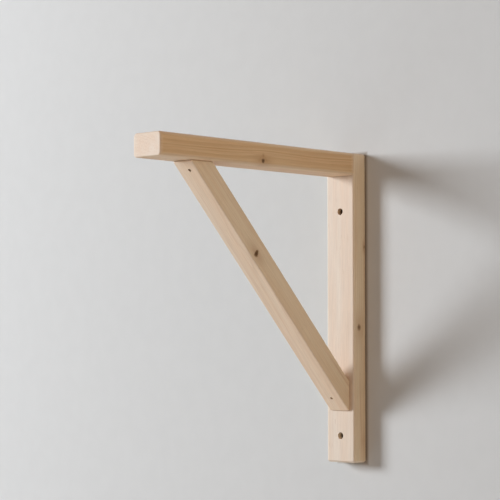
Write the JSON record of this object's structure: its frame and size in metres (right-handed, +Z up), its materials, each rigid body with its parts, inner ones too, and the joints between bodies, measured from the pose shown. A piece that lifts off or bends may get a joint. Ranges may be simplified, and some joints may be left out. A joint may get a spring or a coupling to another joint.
{
  "type": "gallows shelf bracket",
  "caption": "Wall bracket of planed pine: an upright with wall-screw holes, an arm that carries a shelf and a mitred diagonal brace pinned between them.",
  "frame": {"origin": "on the wall face, midway between the two wall screws", "axes": "+X along the wall, +Y into the wall, +Z up; the arm reaches out to -Y"},
  "size_m": [0.029, 0.23, 0.2505],
  "materials": {
    "upright_pine": "planed and sanded, unfinished",
    "arm_pine": "planed and sanded, unfinished",
    "brace_pine": "planed and sanded, unfinished",
    "pin_steel": "bright steel, dulled",
    "screw_steel": "zinc plated"
  },
  "bodies": {
    "root": {"upright": "upright_pine", "arm": "arm_pine", "brace": "brace_pine", "brace_pins": "pin_steel", "arm_screws": "screw_steel"}
  },
  "joints": []
}
